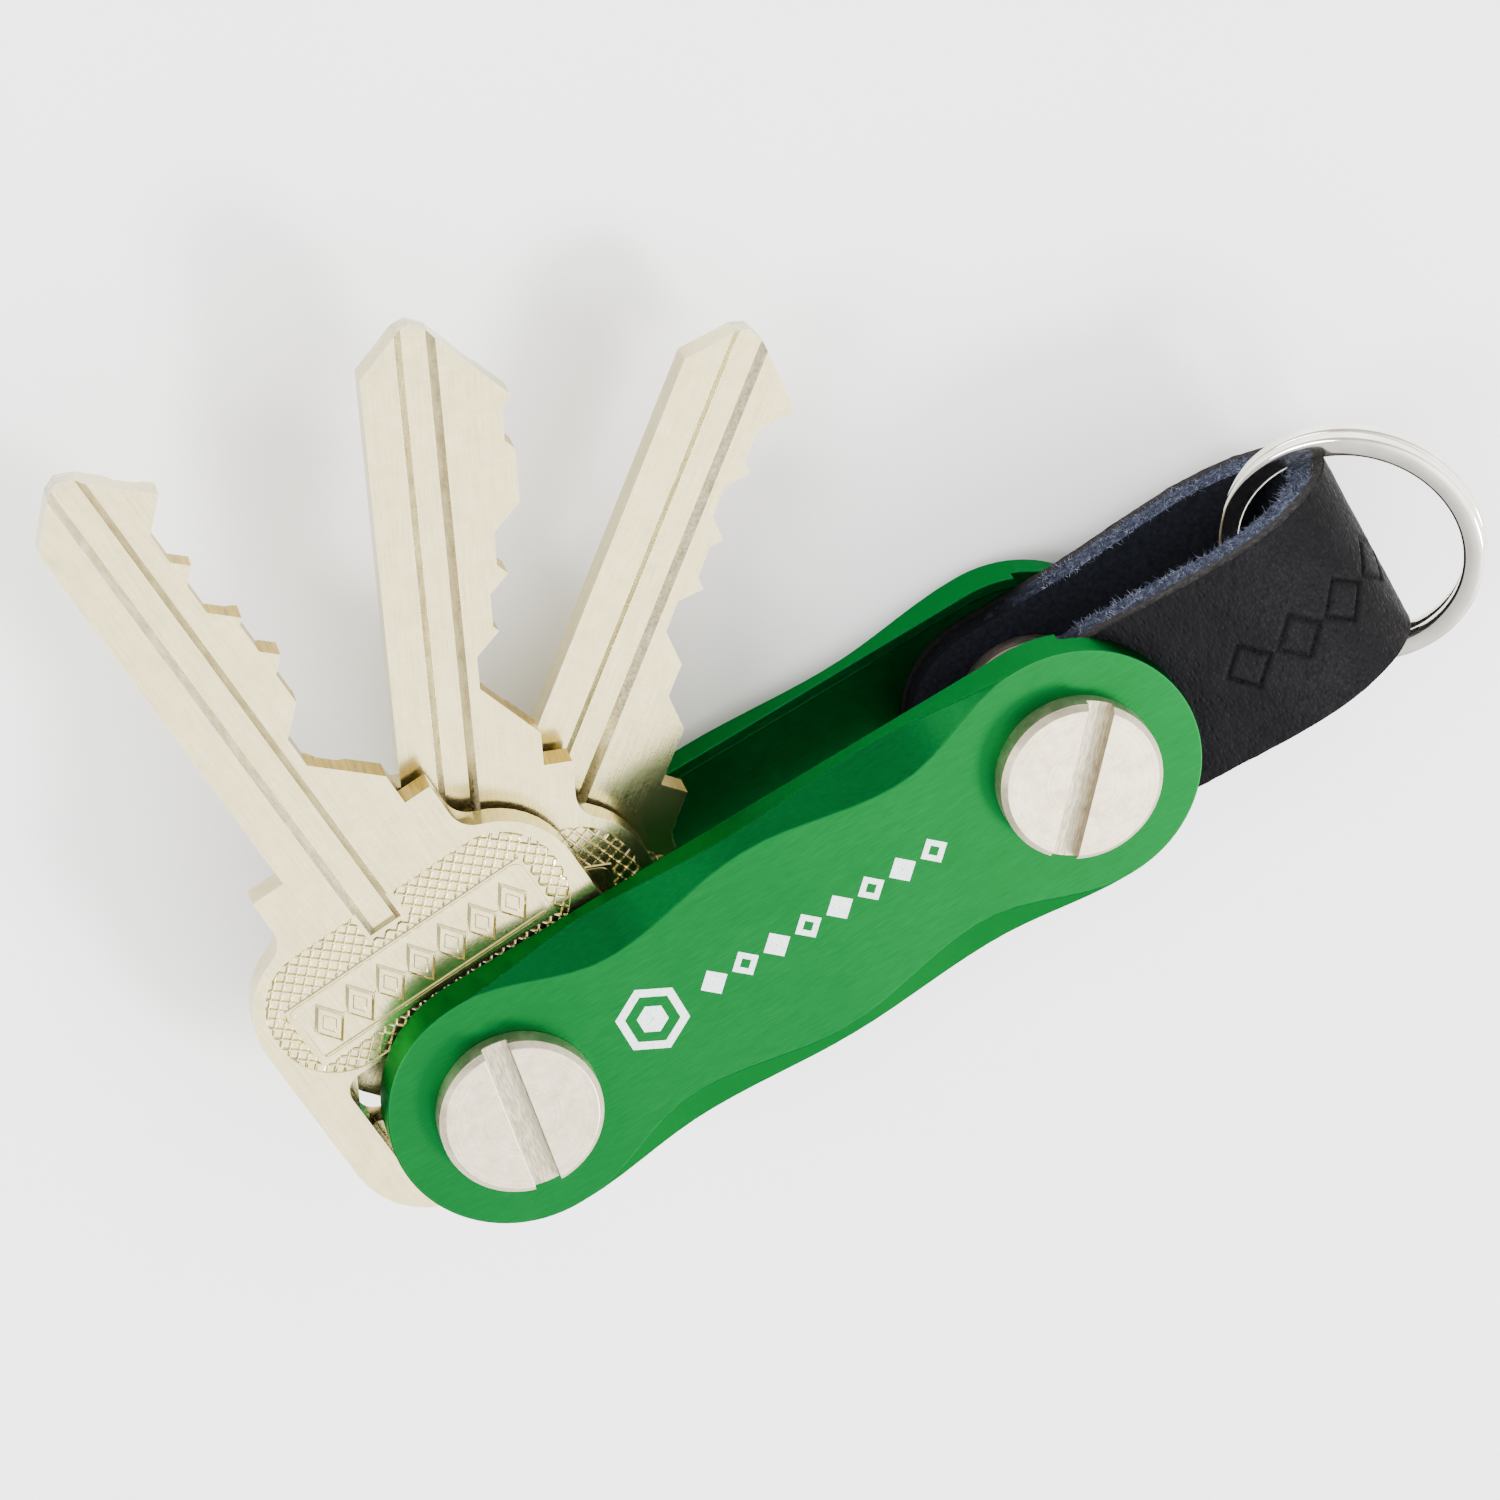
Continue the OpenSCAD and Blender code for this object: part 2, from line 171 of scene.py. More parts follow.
class Paint:
    """A node material with a few short calls for the patterns used here."""

    def __init__(self, name, base, metallic, roughness):
        self.mat = bpy.data.materials.new(name)
        self.mat.use_nodes = True
        self.tree = self.mat.node_tree
        self.shader = self.tree.nodes["Principled BSDF"]
        self.set("Base Color", (*base, 1.0))
        self.set("Metallic", metallic)
        self.set("Roughness", roughness)

    def set(self, socket, value):
        self.shader.inputs[socket].default_value = value

    def node(self, kind, **settings):
        node = self.tree.nodes.new(kind)
        for key, value in settings.items():
            setattr(node, key, value)
        return node

    def link(self, output, socket):
        self.tree.links.new(output, socket)

    def place(self, scale, turn_deg=0.0, shift=(0.0, 0.0, 0.0)):
        """Object coordinates, shifted, turned about Z and then scaled, in 1/m."""
        coords = self.node("ShaderNodeTexCoord")
        turn = self.node("ShaderNodeMapping", vector_type="POINT")
        turn.inputs["Location"].default_value = shift
        turn.inputs["Rotation"].default_value = (0.0, 0.0, math.radians(turn_deg))
        self.link(coords.outputs["Object"], turn.inputs["Vector"])
        stretch = self.node("ShaderNodeMapping", vector_type="POINT")
        stretch.inputs["Scale"].default_value = scale
        self.link(turn.outputs["Vector"], stretch.inputs["Vector"])
        return stretch.outputs["Vector"]

    def noise(self, where, detail=4.0, rough=0.55):
        tex = self.node("ShaderNodeTexNoise")
        tex.inputs["Scale"].default_value = 1.0
        tex.inputs["Detail"].default_value = detail
        tex.inputs["Roughness"].default_value = rough
        self.link(where, tex.inputs["Vector"])
        return tex.outputs["Fac"]

    def cells(self, where):
        tex = self.node("ShaderNodeTexVoronoi", feature="F1")
        tex.inputs["Scale"].default_value = 1.0
        self.link(where, tex.inputs["Vector"])
        return tex.outputs["Distance"]

    def span(self, value, low, high, to_low=0.0, to_high=1.0):
        """Maps low..high of a value to to_low..to_high, and holds it there."""
        tex = self.node("ShaderNodeMapRange", clamp=True)
        for socket, number in zip(
            ("From Min", "From Max", "To Min", "To Max"), (low, high, to_low, to_high)
        ):
            tex.inputs[socket].default_value = number
        self.link(value, tex.inputs["Value"])
        return tex.outputs["Result"]

    def math(self, kind, first, second):
        tex = self.node("ShaderNodeMath", operation=kind)
        for socket, value in zip(tex.inputs, (first, second)):
            if isinstance(value, (int, float)):
                socket.default_value = value
            else:
                self.link(value, socket)
        return tex.outputs["Value"]

    def ramp(self, value, *stops):
        """Colours along a value: each stop is a place from 0 to 1 and a colour."""
        tex = self.node("ShaderNodeValToRGB")
        elements = tex.color_ramp.elements
        while len(elements) < len(stops):
            elements.new(0.5)
        for element, (place, colour) in zip(elements, stops):
            element.position = place
            element.color = (*colour, 1.0)
        self.link(value, tex.inputs["Fac"])
        return tex.outputs["Color"]

    def mix(self, factor, first, second):
        tex = self.node("ShaderNodeMix", data_type="RGBA")
        sockets = (tex.inputs[0], tex.inputs[6], tex.inputs[7])
        for socket, value in zip(sockets, (factor, first, second)):
            if isinstance(value, tuple):
                socket.default_value = (*value, 1.0)
            else:
                self.link(value, socket)
        return tex.outputs[2]

    def attribute(self, name):
        return self.node("ShaderNodeAttribute", attribute_name=name).outputs["Fac"]

    def edges(self, radius):
        """1 along convex and concave edges, 0 on open faces."""
        bevel = self.node("ShaderNodeBevel", samples=4)
        bevel.inputs["Radius"].default_value = radius
        geometry = self.node("ShaderNodeNewGeometry")
        dot = self.node("ShaderNodeVectorMath", operation="DOT_PRODUCT")
        self.link(bevel.outputs["Normal"], dot.inputs[0])
        self.link(geometry.outputs["Normal"], dot.inputs[1])
        return self.span(dot.outputs["Value"], 1.0, 0.93)

    def bump(self, height, strength, distance, after=None):
        node = self.node("ShaderNodeBump")
        node.inputs["Strength"].default_value = strength
        node.inputs["Distance"].default_value = distance
        self.link(height, node.inputs["Height"])
        if after is not None:
            self.link(after, node.inputs["Normal"])
        self.link(node.outputs["Normal"], self.shader.inputs["Normal"])
        return node.outputs["Normal"]

    def colour(self, output):
        self.link(output, self.shader.inputs["Base Color"])

    def rough(self, output):
        self.link(output, self.shader.inputs["Roughness"])


# ---- Materials: noise scales are in 1/m, bump distances in m ----

EDGE_WEAR = 0.35
LATHE_RINGS_PER_M = 6500.0


def green_anodised():
    """Dyed anodised aluminium with a fine brushed grain along the plate."""
    paint = Paint("green_anodised", (0.0030, 0.082, 0.0170), 1.0, 0.38)
    paint.set("Specular Tint", (0.45, 0.82, 0.52, 1.0))
    streak = paint.noise(paint.place((900, 19000, 19000)), detail=3)
    speck = paint.noise(paint.place((5200, 5200, 5200)), detail=2)
    cloud = paint.noise(paint.place((180, 180, 180)), detail=3)
    tone = paint.ramp(
        streak,
        (0.25, (0.0024, 0.070, 0.0138)),
        (0.55, (0.0030, 0.082, 0.0170)),
        (0.8, (0.0041, 0.099, 0.0215)),
    )
    tone = paint.mix(paint.span(cloud, 0.35, 0.7, 0.0, 0.25), tone, (0.0017, 0.062, 0.0105))
    tone = paint.mix(paint.span(speck, 0.6, 0.75, 0.0, 0.25), tone, (0.0030, 0.100, 0.022))
    wear = paint.math("MULTIPLY", paint.edges(0.00020), EDGE_WEAR)
    paint.colour(paint.mix(wear, tone, (0.014, 0.155, 0.040)))
    paint.rough(paint.span(streak, 0.3, 0.75, 0.33, 0.45))
    paint.bump(streak, 0.10, 0.000010)
    return paint.mat


def turned_steel(name, centre_x):
    """Faced on a lathe: fine rings round the post's axis, with a mottled skin."""
    paint = Paint(name, (0.58, 0.51, 0.365), 1.0, 0.38)
    offset = paint.place((1, 1, 0), shift=(-centre_x * MM, 0.0, 0.0))
    length = paint.node("ShaderNodeVectorMath", operation="LENGTH")
    paint.link(offset, length.inputs[0])
    lathe = paint.node("ShaderNodeTexNoise", noise_dimensions="1D")
    lathe.inputs["Scale"].default_value = LATHE_RINGS_PER_M
    lathe.inputs["Detail"].default_value = 2.0
    paint.link(length.outputs["Value"], lathe.inputs["W"])
    rings = lathe.outputs["Fac"]
    smudge = paint.noise(paint.place((900, 900, 900)), detail=7, rough=0.72)
    speck = paint.noise(paint.place((7000, 7000, 7000)), detail=2)
    tone = paint.ramp(
        smudge,
        (0.32, (0.46, 0.40, 0.28)),
        (0.5, (0.58, 0.51, 0.365)),
        (0.7, (0.68, 0.61, 0.46)),
    )
    tone = paint.mix(paint.span(rings, 0.35, 0.7, 0.0, 0.30), tone, (0.36, 0.31, 0.22))
    tone = paint.mix(paint.span(speck, 0.55, 0.75, 0.0, 0.30), tone, (0.30, 0.26, 0.19))
    paint.colour(tone)
    paint.rough(paint.span(smudge, 0.3, 0.75, 0.34, 0.50))
    paint.bump(rings, 0.25, 0.000010)
    return paint.mat


def shaded_milled_slot(name, direction):
    """A head slot's floor and walls, streaked along the cutter's path, and painted darker than the
    head as shade in the slot.
    """
    paint = Paint(name, (0.36, 0.315, 0.22), 1.0, 0.42)
    streak = paint.noise(paint.place((1500, 9000, 5000), turn_deg=-direction))
    tone = paint.ramp(
        streak,
        (0.3, (0.22, 0.19, 0.135)),
        (0.5, (0.37, 0.325, 0.23)),
        (0.72, (0.56, 0.50, 0.37)),
    )
    paint.colour(tone)
    paint.rough(paint.span(streak, 0.3, 0.75, 0.34, 0.52))
    paint.bump(streak, 0.30, 0.000014)
    return paint.mat


def key_nickel(name, direction):
    """Plated brass: brushed along the blade, lapped lightly across it, pitted and cloudy."""
    paint = Paint(name, (0.76, 0.67, 0.345), 1.0, 0.22)
    streak = paint.noise(paint.place((300, 12000, 12000), turn_deg=-direction))
    lapped = paint.noise(paint.place((9000, 700, 9000), turn_deg=-direction))
    cloud = paint.noise(paint.place((700, 700, 700)), detail=7, rough=0.7)
    pit = paint.noise(paint.place((5600, 5600, 5600)), detail=3)
    tone = paint.ramp(
        cloud,
        (0.32, (0.68, 0.60, 0.31)),
        (0.5, (0.76, 0.67, 0.345)),
        (0.68, (0.83, 0.735, 0.39)),
    )
    tone = paint.mix(paint.span(streak, 0.42, 0.66, 0.0, 0.50), tone, (0.42, 0.37, 0.205))
    tone = paint.mix(paint.span(lapped, 0.45, 0.70, 0.0, 0.22), tone, (0.38, 0.335, 0.19))
    tone = paint.mix(paint.span(pit, 0.42, 0.66, 0.0, 0.30), tone, (0.40, 0.35, 0.20))
    wear = paint.math("MULTIPLY", paint.edges(0.00010), EDGE_WEAR)
    paint.colour(paint.mix(wear, tone, (0.88, 0.82, 0.60)))
    paint.rough(paint.span(paint.math("ADD", streak, pit), 0.7, 1.4, 0.15, 0.28))
    first = paint.bump(streak, 0.26, 0.000014)
    second = paint.bump(lapped, 0.10, 0.000010, after=first)
    paint.bump(pit, 0.16, 0.000010, after=second)
    return paint.mat


def groove_nickel():
    """The milled sides of the keys' grooves, painted darker and greyer than the faces as shade in
    the groove.
    """
    paint = Paint("groove_nickel", (0.55, 0.49, 0.35), 1.0, 0.30)
    groove_shade_mottle = paint.noise(paint.place((900, 900, 3000)), detail=5)
    cutter = paint.noise(paint.place((5200, 5200, 700)), detail=3)
    # walls darker and greyer than the key's faces: painted shade in the groove
    paint.colour(paint.ramp(groove_shade_mottle, (0.3, (0.42, 0.375, 0.24)), (0.7, (0.70, 0.64, 0.45))))
    paint.rough(paint.span(cutter, 0.3, 0.7, 0.22, 0.38))
    paint.bump(cutter, 0.2, 0.00001)
    return paint.mat


def raw_brass():
    """Fresh metal where a key's cuts were milled."""
    paint = Paint("raw_brass", (0.50, 0.34, 0.05), 1.0, 0.32)
    lines = paint.noise(paint.place((5200, 5200, 260)), detail=3)
    paint.colour(paint.ramp(lines, (0.3, (0.34, 0.225, 0.028)), (0.7, (0.66, 0.47, 0.085))))
    paint.rough(paint.span(lines, 0.3, 0.7, 0.25, 0.42))
    paint.bump(lines, 0.3, 0.00002)
    return paint.mat


def spacer_steel():
    """Dull turned rims of the spacers and washers, painted dark as the shade between the plates."""
    # a steel base this dark is painted shade between the plates
    paint = Paint("spacer_steel", (0.20, 0.172, 0.145), 1.0, 0.45)
    lines = paint.noise(paint.place((900, 900, 7000)), detail=3)
    paint.colour(paint.ramp(lines, (0.3, (0.14, 0.120, 0.100)), (0.7, (0.26, 0.225, 0.19))))
    paint.rough(paint.span(lines, 0.3, 0.7, 0.38, 0.55))
    paint.bump(lines, 0.25, 0.00002)
    return paint.mat


def ring_nickel():
    """Polished wire with smears and faint scratches."""
    paint = Paint("ring_nickel", (0.90, 0.85, 0.75), 1.0, 0.08)
    smear = paint.noise(paint.place((500, 500, 500)), detail=6)
    scratch = paint.noise(paint.place((7000, 600, 2500), turn_deg=30.0), detail=2)
    paint.colour(paint.ramp(smear, (0.3, (0.80, 0.75, 0.65)), (0.7, (0.95, 0.91, 0.82))))
    paint.rough(paint.span(smear, 0.3, 0.75, 0.05, 0.14))
    paint.bump(scratch, 0.05, 0.00001)
    return paint.mat


def leather_skin():
    """Waxed black grain with pebbles, pores and fine cross creases, burnt darker where
    the ornament is pressed in."""
    paint = Paint("leather_skin", (0.0075, 0.0074, 0.0084), 0.0, 0.55)
    pebble = paint.cells(paint.place((4600, 3400, 4600)))
    pore = paint.span(paint.cells(paint.place((2600, 1500, 2600))), 0.05, 0.35)
    crease = paint.noise(paint.place((5200, 900, 5200)), detail=5, rough=0.65)
    cloud = paint.noise(paint.place((300, 300, 300)))
    tone = paint.ramp(
        crease,
        (0.3, (0.0022, 0.0022, 0.0026)),
        (0.6, (0.0044, 0.0043, 0.0050)),
        (0.8, (0.0092, 0.0090, 0.0102)),
    )
    tone = paint.mix(paint.span(cloud, 0.4, 0.75, 0.0, 0.35), tone, (0.0085, 0.0084, 0.0094))
    burnt = paint.span(paint.attribute("pressed"), 0.30, 0.85)
    paint.colour(paint.mix(burnt, tone, (0.0007, 0.0007, 0.0008)))
    paint.rough(paint.span(pebble, 0.1, 0.7, 0.42, 0.62))
    paint.set("Specular IOR Level", 0.04)
    first = paint.bump(pebble, 0.60, 0.00005)
    second = paint.bump(pore, 0.80, 0.00006, after=first)
    paint.bump(crease, 0.55, 0.00003, after=second)
    return paint.mat


def leather_suede():
    """The napped inside of the loop."""
    paint = Paint("leather_suede", (0.0028, 0.0032, 0.0046), 0.0, 0.95)
    nap = paint.noise(paint.place((3000, 3000, 3000)), detail=6, rough=0.7)
    paint.colour(
        paint.ramp(nap, (0.3, (0.0026, 0.0030, 0.0042)), (0.7, (0.0105, 0.0120, 0.0170)))
    )
    paint.rough(paint.span(nap, 0.3, 0.7, 0.85, 1.0))
    paint.set("Specular IOR Level", 0.05)
    paint.bump(nap, 0.8, 0.00008)
    return paint.mat


def out_of_plate_shade(paint):
    """0 beside the strap post, where the cut edge is painted dark as the shade between the plates,
    to 1 in the loop.
    """
    place = paint.node("ShaderNodeSeparateXYZ")
    paint.link(paint.place((1, 1, 1)), place.inputs["Vector"])
    blot = paint.math("MULTIPLY", paint.noise(paint.place((700, 700, 700)), detail=3), 0.006)
    along = paint.math("ADD", place.outputs["X"], blot)
    return paint.span(along, (POST_SPACING + 4.0) * MM, (POST_SPACING + 11.0) * MM)


def leather_edge():
    """Open cut edge: blue-grey fibre, painted almost black near the post as the shade between the
    plates.
    """
    paint = Paint("leather_edge", (0.014, 0.016, 0.028), 0.0, 0.95)
    fibre = paint.noise(paint.place((2600, 2600, 2600)), detail=7, rough=0.75)
    clump = paint.noise(paint.place((900, 900, 900)), detail=3)
    tone = paint.ramp(
        fibre,
        (0.32, (0.0075, 0.0090, 0.0165)),
        (0.52, (0.036, 0.042, 0.067)),
        (0.70, (0.17, 0.19, 0.26)),
    )
    tone = paint.mix(paint.span(clump, 0.45, 0.7, 0.0, 0.55), tone, (0.0075, 0.0090, 0.0175))
    # near the post the edge is painted almost black: painted shade between the plates
    paint.colour(paint.mix(out_of_plate_shade(paint), (0.0024, 0.0026, 0.0036), tone))
    paint.rough(paint.span(fibre, 0.3, 0.7, 0.85, 1.0))
    paint.set("Specular IOR Level", 0.05)
    paint.bump(fibre, 0.9, 0.00012)
    return paint.mat


def leather_edge_skin():
    """The finished skin where the knife went through it, seen edge on."""
    paint = Paint("leather_edge_skin", (0.022, 0.020, 0.020), 0.0, 0.8)
    grit = paint.noise(paint.place((3600, 3600, 3600)), detail=6, rough=0.7)
    tone = paint.ramp(
        grit,
        (0.3, (0.0065, 0.0060, 0.0062)),
        (0.55, (0.024, 0.0222, 0.0222)),
        (0.75, (0.075, 0.070, 0.069)),
    )
    # near the post the skin edge is painted dark: painted shade between the plates
    paint.colour(paint.mix(out_of_plate_shade(paint), (0.0060, 0.0056, 0.0056), tone))
    paint.rough(paint.span(grit, 0.3, 0.7, 0.7, 0.95))
    paint.set("Specular IOR Level", 0.08)
    paint.bump(grit, 0.7, 0.00008)
    return paint.mat


def fibre_blue():
    """Loose fibres, pale where their dye is thin."""
    paint = Paint("fibre_blue", (0.030, 0.036, 0.062), 0.0, 0.9)
    tint = paint.noise(paint.place((1800, 1800, 1800)), detail=3)
    tone = paint.ramp(
        tint,
        (0.3, (0.020, 0.024, 0.044)),
        (0.5, (0.085, 0.098, 0.145)),
        (0.70, (0.30, 0.33, 0.40)),
    )
    paint.colour(tone)
    paint.rough(paint.span(tint, 0.3, 0.7, 0.8, 1.0))
    paint.set("Specular IOR Level", 0.10)
    return paint.mat


def silver_print():
    """The pale printed ornament."""
    paint = Paint("silver_print", (0.62, 0.70, 0.68), 0.2, 0.45)
    speck = paint.noise(paint.place((9000, 9000, 9000)))
    paint.colour(paint.ramp(speck, (0.3, (0.48, 0.55, 0.53)), (0.7, (0.80, 0.86, 0.84))))
    paint.rough(paint.span(speck, 0.3, 0.7, 0.36, 0.55))
    return paint.mat


def floor_paper():
    """White studio paper, very slightly mottled."""
    paint = Paint("floor_paper", (0.93, 0.93, 0.93), 0.0, 0.9)
    mottle = paint.noise(paint.place((40, 40, 40)), detail=3)
    paint.colour(paint.ramp(mottle, (0.3, (0.925, 0.925, 0.925)), (0.7, (0.945, 0.945, 0.945))))
    return paint.mat


GREEN = green_anodised()
STEEL_KEY = turned_steel("turned_steel_key_post", 0.0)
STEEL_STRAP = turned_steel("turned_steel_strap_post", POST_SPACING)
SPACER = spacer_steel()
BRASS = raw_brass()
GROOVE = groove_nickel()
NICKEL = {key: key_nickel("nickel_" + key, turn) for key, turn in KEY_DIRECTION.items()}
RING = ring_nickel()

# ---- Camera, from the photographed side: +Y, well above the plates, rolled ----

CAMERA_AT = (0.02795, 0.16994, 0.34100)
CAMERA_TURN_DEG = (-22.934, -12.358, -28.572)
CAMERA_LENS = 142.5
CAMERA_SENSOR = 36.0
CAMERA_SHIFT_X = 0.0053
CAMERA_CLIP_START = 0.01


def add_camera():
    data = bpy.data.cameras.new("camera")
    data.lens = CAMERA_LENS
    data.sensor_width = CAMERA_SENSOR
    data.shift_x = CAMERA_SHIFT_X
    data.clip_start = CAMERA_CLIP_START
    camera = bpy.data.objects.new("camera", data)
    camera.location = CAMERA_AT
    camera.rotation_euler = Euler([math.radians(a) for a in CAMERA_TURN_DEG], "XYZ")
    bpy.context.scene.collection.objects.link(camera)
    bpy.context.scene.camera = camera


add_camera()

# ---- Metal parts whose CAD shape is right, with rounded edges ----

PLATE_EDGE = 0.14
PLATE_SHARP_DEG = 14.0
HEAD_EDGE = 0.06
SPACER_EDGE = 0.08
KEY_EDGE = 0.07
SLOT_REACH = 0.855
SLOT_SHALLOW = 0.05
SLOT_DEEP = 1.1

for plate in ("front_plate", "back_plate"):
    shell = softened(plate, PLATE_EDGE, [GREEN], sharp_deg=PLATE_SHARP_DEG)
    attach(shell, "body")


def slot_paint(part, centre_x, slot_deg):
    """Marks the faces inside a head's slot: below the outer face and within its walls."""
    low, high = box_mm(part)
    outer_z = high[2] if part.endswith("screw") else low[2]
    turn = math.radians(slot_deg)

    def paint(centre, normal):
        off = (centre[0] - centre_x) * math.sin(turn) - centre[1] * math.cos(turn)
        deep = abs(centre[2] - outer_z)
        return 1 if abs(off) < SLOT_REACH and SLOT_SHALLOW < deep < SLOT_DEEP else 0

    return paint


for part, centre_x, steel, slot_deg in (
    ("key_screw", 0.0, STEEL_KEY, 80.0),
    ("key_barrel", 0.0, STEEL_KEY, 49.0),
    ("strap_screw", POST_SPACING, STEEL_STRAP, 49.0),
    ("strap_barrel", POST_SPACING, STEEL_STRAP, 80.0),
):
    # the slot's faces get a darker steel: painted shade in the slot
    slot_steel = shaded_milled_slot("shaded_milled_slot_" + part, slot_deg)
    marks = slot_paint(part, centre_x, slot_deg)
    shell = softened(part, HEAD_EDGE, [steel, slot_steel], paint=marks)
    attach(shell, "body")

KEY_STACK = ["front_spacer", "front_washer", "rear_washer", "rear_spacer_inner", "rear_spacer_outer"]
for part in KEY_STACK + [f"strap_spacer_{i}" for i in range(1, 6)]:
    shell = softened(part, SPACER_EDGE, [SPACER])
    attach(shell, "body")

# ---- Keys: u runs across a key and v along its blade, from the post ----

# Where the milled cuts and the shoulder show raw brass
CUT_LOW_V = 21.5
CUT_HIGH_V = 45.5
CUT_LOW_U = 0.4
CUT_HIGH_U = 5.0
SHOULDER_V = (19.4, 20.0)
SHOULDER_U = (4.85, 6.85)
FACE_LEVEL = 0.6
# The groove's walls, and the part of the bow that it clears
GROOVE_REACH = 2.0
GROOVE_START_V = 12.2
GROOVE_LEVEL = 0.97
GROOVE_CLEAR_U = (-1.75, 1.05)
GROOVE_CLEAR_V = 13.2
# The knurled field is drawn at FIELD_R round a bar, less the framed panel
FIELD_CORE_LOW = (-5.8, 10.6)
FIELD_CORE_HIGH = (6.3, 11.0)
FIELD_R = 4.25
PANEL_LOW = np.array([-8.65, 7.85])
PANEL_HIGH = np.array([8.75, 12.45])
# Studs: rings of corners, each with its share of the reach and its rise over the bow's face
STUD_COUNT = 7
STUD_PITCH = 2.25
STUD_MIDDLE = (0.05, 10.15)
STUD_REACH = (1.11, 1.60)
STUD_RINGS = ((1.0, -0.12), (0.97, -0.08), (0.78, 0.08), (0.50, 0.08), (0.36, -0.05))
STUD_SHARP_DEG = 5.0
# Rim: outlines, each with its distance in from the panel's edge and its rise
RIM_RINGS = ((0.10, -0.12), (0.18, 0.06), (0.44, 0.06), (0.52, -0.12))
RIM_CORNER = 0.8
RIM_STEPS = 7
# Knurl: a diagonal net. A station is a place within one pitch, with 1 on a ridge, 0 in a pocket
KNURL_PITCH = 0.62
KNURL_LINES = 26
KNURL_STATIONS = ((-0.06, 1.0), (0.06, 1.0), (0.19, 0.0), (0.81, 0.0))
KNURL_MIDDLE_V = 11.0
KNURL_DEEP = 0.115
KNURL_TALL = 0.150
KNURL_FADE = 0.12
KNURL_REACH = 0.75
KNURL_SLIVER_M = 0.00001


def key_axes(key):
    """Unit vectors across and along a key's blade, in the row frame."""
    turn = math.radians(KEY_DIRECTION[key])
    return np.array([math.sin(turn), -math.cos(turn)]), np.array([math.cos(turn), math.sin(turn)])


def key_body(key):
    across, along = key_axes(key)

    def paint(centre, normal):
        u, v = centre[:2] @ across - KEY_SEAT[key], centre[:2] @ along
        in_groove = abs(u) < GROOVE_REACH and v > GROOVE_START_V
        # groove walls take the darker groove material, which is painted shade
        if in_groove and abs(normal[2]) < GROOVE_LEVEL:
            return 2
        if abs(normal[2]) > FACE_LEVEL:
            return 0
        in_cuts = CUT_LOW_V < v < CUT_HIGH_V and CUT_LOW_U < u < CUT_HIGH_U
        on_shoulder = SHOULDER_V[0] < v < SHOULDER_V[1] and SHOULDER_U[0] < u < SHOULDER_U[1]
        return 1 if in_cuts or on_shoulder else 0

    seam = ((*along * STUD_MIDDLE[1], 0.0), (*along, 0.0))
    shell = softened(key, KEY_EDGE, [NICKEL[key], BRASS, GROOVE], paint=paint, seam=seam)
    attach(shell, key)


def bow_point(key, side, u, v, rise):
    """A point over one bow face, rise out of it. side is 1 in front, -1 behind."""
    across, along = key_axes(key)
    low, high = KEY_BOX[key]
    face_z = high[2] if side > 0 else low[2]
    xy = across * (u + KEY_SEAT[key]) + along * v
    return xy[0], xy[1], face_z + side * rise


def bow_piece(key, side, what, points, faces, sharp_deg=30.0, slivers=False):
    """Relief on one bow face. Its faces are wound for the front, and turned over behind."""
    if side < 0:
        faces = [face[::-1] for face in faces]
    name = f"{key}_{what}_{'front' if side > 0 else 'back'}"
    piece = make_piece(name, points, faces, [NICKEL[key]], sharp_deg=sharp_deg)
    if slivers:
        clean = bmesh.new()
        clean.from_mesh(piece.data)
        bmesh.ops.dissolve_degenerate(clean, dist=KNURL_SLIVER_M, edges=clean.edges)
        loose = [v for v in clean.verts if not v.link_faces]
        bmesh.ops.delete(clean, geom=loose, context="VERTS")
        clean.to_mesh(piece.data)
        clean.free()
    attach(piece, key)


def core_point(u, v):
    """The nearest point of the bar that the field's rounded outline is drawn round."""
    return np.clip((u, v), FIELD_CORE_LOW, FIELD_CORE_HIGH)


def in_field(u, v, margin):
    """True where the knurl shows: inside the rounded field and off the panel."""
    if np.linalg.norm((u, v) - core_point(u, v)) > FIELD_R - margin:
        return False
    on_panel = (
        PANEL_LOW[0] - margin < u < PANEL_HIGH[0] + margin
        and PANEL_LOW[1] - margin < v < PANEL_HIGH[1] + margin
    )
    return not on_panel


def edge_distance(u, v):
    """How far a knurl point is from the field's outline or the panel, the nearer of the two."""
    outer = FIELD_R - np.linalg.norm((u, v) - core_point(u, v))
    off_u = max(PANEL_LOW[0] - u, u - PANEL_HIGH[0], 0.0)
    off_v = max(PANEL_LOW[1] - v, v - PANEL_HIGH[1], 0.0)
    return min(outer, math.hypot(off_u, off_v))


def settled(u, v):
    """A knurl point and the share of its rise: on the panel it slides to the panel's nearest
    side, and outside the field to the field's outline."""
    if in_field(u, v, 0.0):
        return u, v, min(1.0, edge_distance(u, v) / KNURL_FADE)
    if PANEL_LOW[0] < u < PANEL_HIGH[0] and PANEL_LOW[1] < v < PANEL_HIGH[1]:
        sides = [
            (u - PANEL_LOW[0], PANEL_LOW[0], v),
            (PANEL_HIGH[0] - u, PANEL_HIGH[0], v),
            (v - PANEL_LOW[1], u, PANEL_LOW[1]),
            (PANEL_HIGH[1] - v, u, PANEL_HIGH[1]),
        ]
        return *min(sides)[1:], 0.0
    core = core_point(u, v)
    off = (u, v) - core
    edge = core + off * FIELD_R / max(np.linalg.norm(off), 1e-6)
    return edge[0], edge[1], 0.0


